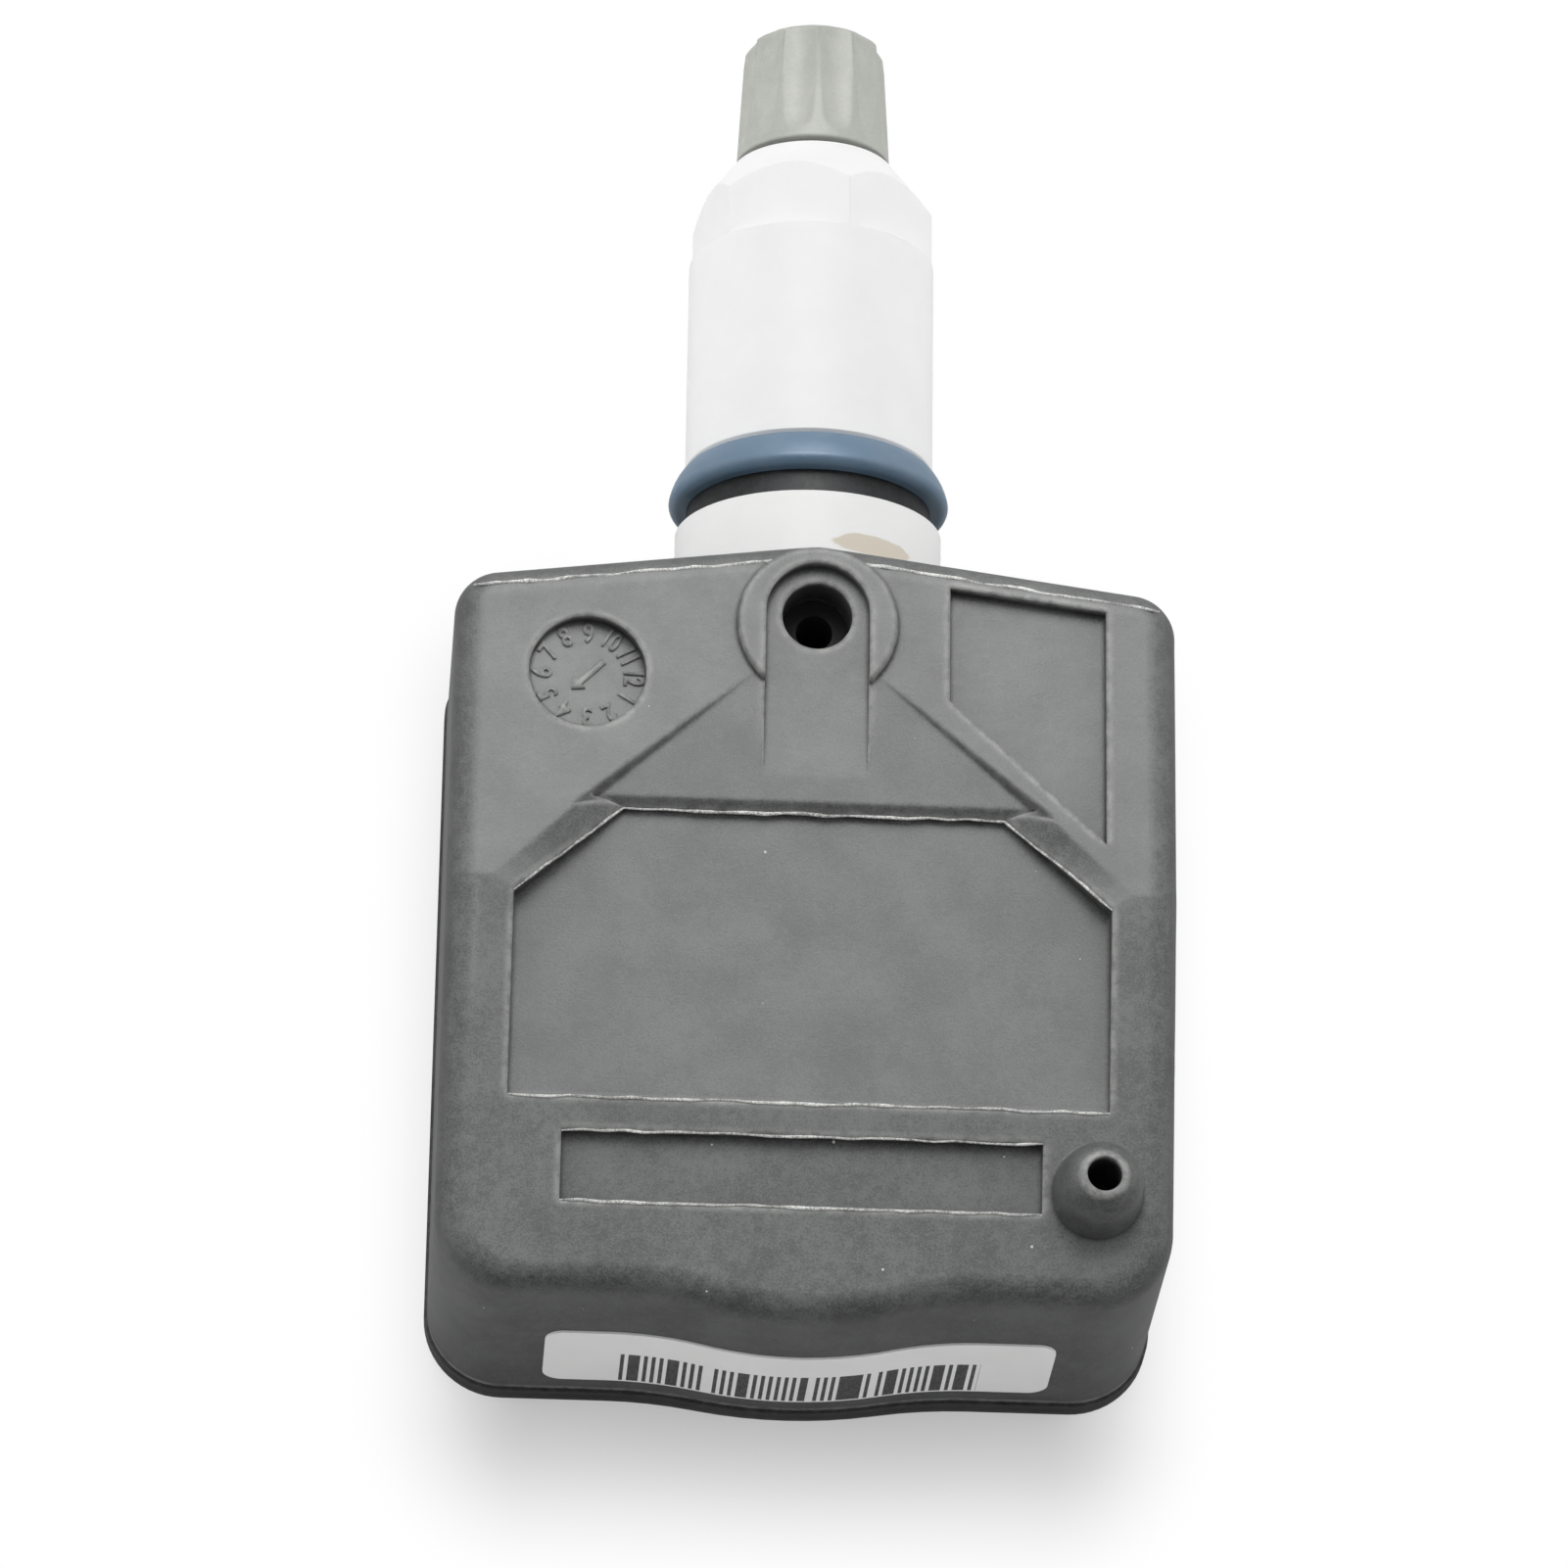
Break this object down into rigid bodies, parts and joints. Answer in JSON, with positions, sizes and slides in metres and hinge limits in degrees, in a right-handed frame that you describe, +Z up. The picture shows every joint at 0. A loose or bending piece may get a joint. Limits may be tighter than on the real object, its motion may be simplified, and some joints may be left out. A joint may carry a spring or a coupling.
{
  "type": "tyre pressure sensor",
  "caption": "Wheel-mounted tyre pressure sensor: a grey moulded housing with a pressure port and an air outlet, on a clamp-in valve stem with rubber grommet, sleeve nut and fluted cap.",
  "frame": {"origin": "on the valve stem's axis, on the outer face of the grommet that seats on the wheel rim", "axes": "+Y out along the stem towards the cap, +Z up from the base cover, +X to the right seen from the front"},
  "size_m": [0.0396, 0.0781, 0.0199],
  "materials": {
    "shell_plastic": "fine moulded grain",
    "cover_plastic": "fine moulded grain",
    "label_paper": "matt print",
    "stem_metal": "anodised satin",
    "nut_metal": "anodised satin",
    "backing_plastic": "matt",
    "grommet_rubber": "satin",
    "cap_plastic": "satin",
    "gasket_rubber": "matt",
    "core_brass": "turned",
    "core_seal_plastic": "smooth",
    "pin_brass": "drawn wire",
    "pin_rubber": "matt",
    "spring_steel": "drawn wire",
    "board_laminate": "solder mask",
    "battery_steel": "brushed",
    "tab_steel": "rolled strip",
    "chip_plastic": "moulded package",
    "port_rubber": "matt",
    "crystal_steel": "pressed can",
    "ferrite": "sintered",
    "copper_wire": "enamelled copper wire",
    "antenna_wire": "tinned copper wire",
    "capacitor_ceramic": "fired"
  },
  "bodies": {
    "housing": {"housing": "shell_plastic", "base_cover": "cover_plastic", "barcode_label": "label_paper", "valve_stem": "stem_metal", "backing_ring": "backing_plastic", "rim_grommet": "grommet_rubber", "core_barrel": "core_brass", "core_seal": "core_seal_plastic", "core_spring": "spring_steel", "circuit_board": "board_laminate", "battery_cell": "battery_steel", "battery_tab_negative": "tab_steel", "battery_tab_positive": "tab_steel", "pressure_sensor_chip": "chip_plastic", "pressure_port_seal": "port_rubber", "transmitter_chip": "chip_plastic", "quartz_crystal": "crystal_steel", "coil_core": "ferrite", "coil_winding": "copper_wire", "loop_antenna": "antenna_wire", "capacitors": "capacitor_ceramic"},
    "cap_seal": {"cap_gasket": "gasket_rubber"},
    "cap": {"valve_cap": "cap_plastic"},
    "nut": {"hex_nut": "nut_metal"},
    "pin": {"core_pin": "pin_brass", "pin_seal": "pin_rubber"}
  },
  "joints": [
    {"name": "cap_lift", "type": "slide", "parent": "housing", "child": "cap_seal", "axis": [0, 1, 0], "range_m": [0, 0.00437]},
    {"name": "cap_turn", "type": "hinge", "parent": "cap_seal", "child": "cap", "pos_m": [0, 0.0192, 0], "axis": [0, 1, 0], "range_deg": [0, 1980]},
    {"name": "nut_turn", "type": "hinge", "parent": "housing", "child": "nut", "pos_m": [0, 0, 0], "axis": [0, 1, 0], "range_deg": [0, 150]},
    {"name": "core_pin_press", "type": "slide", "parent": "housing", "child": "pin", "axis": [0, -1, 0], "range_m": [0, 0.0012], "stiffness_N_per_m": 900, "springref_m": -0.003, "deforming": ["core_spring"]}
  ],
  "couplings": [
    {"joint": "cap_turn", "follows": "cap_lift", "rad_per_m": 7913.3}
  ]
}
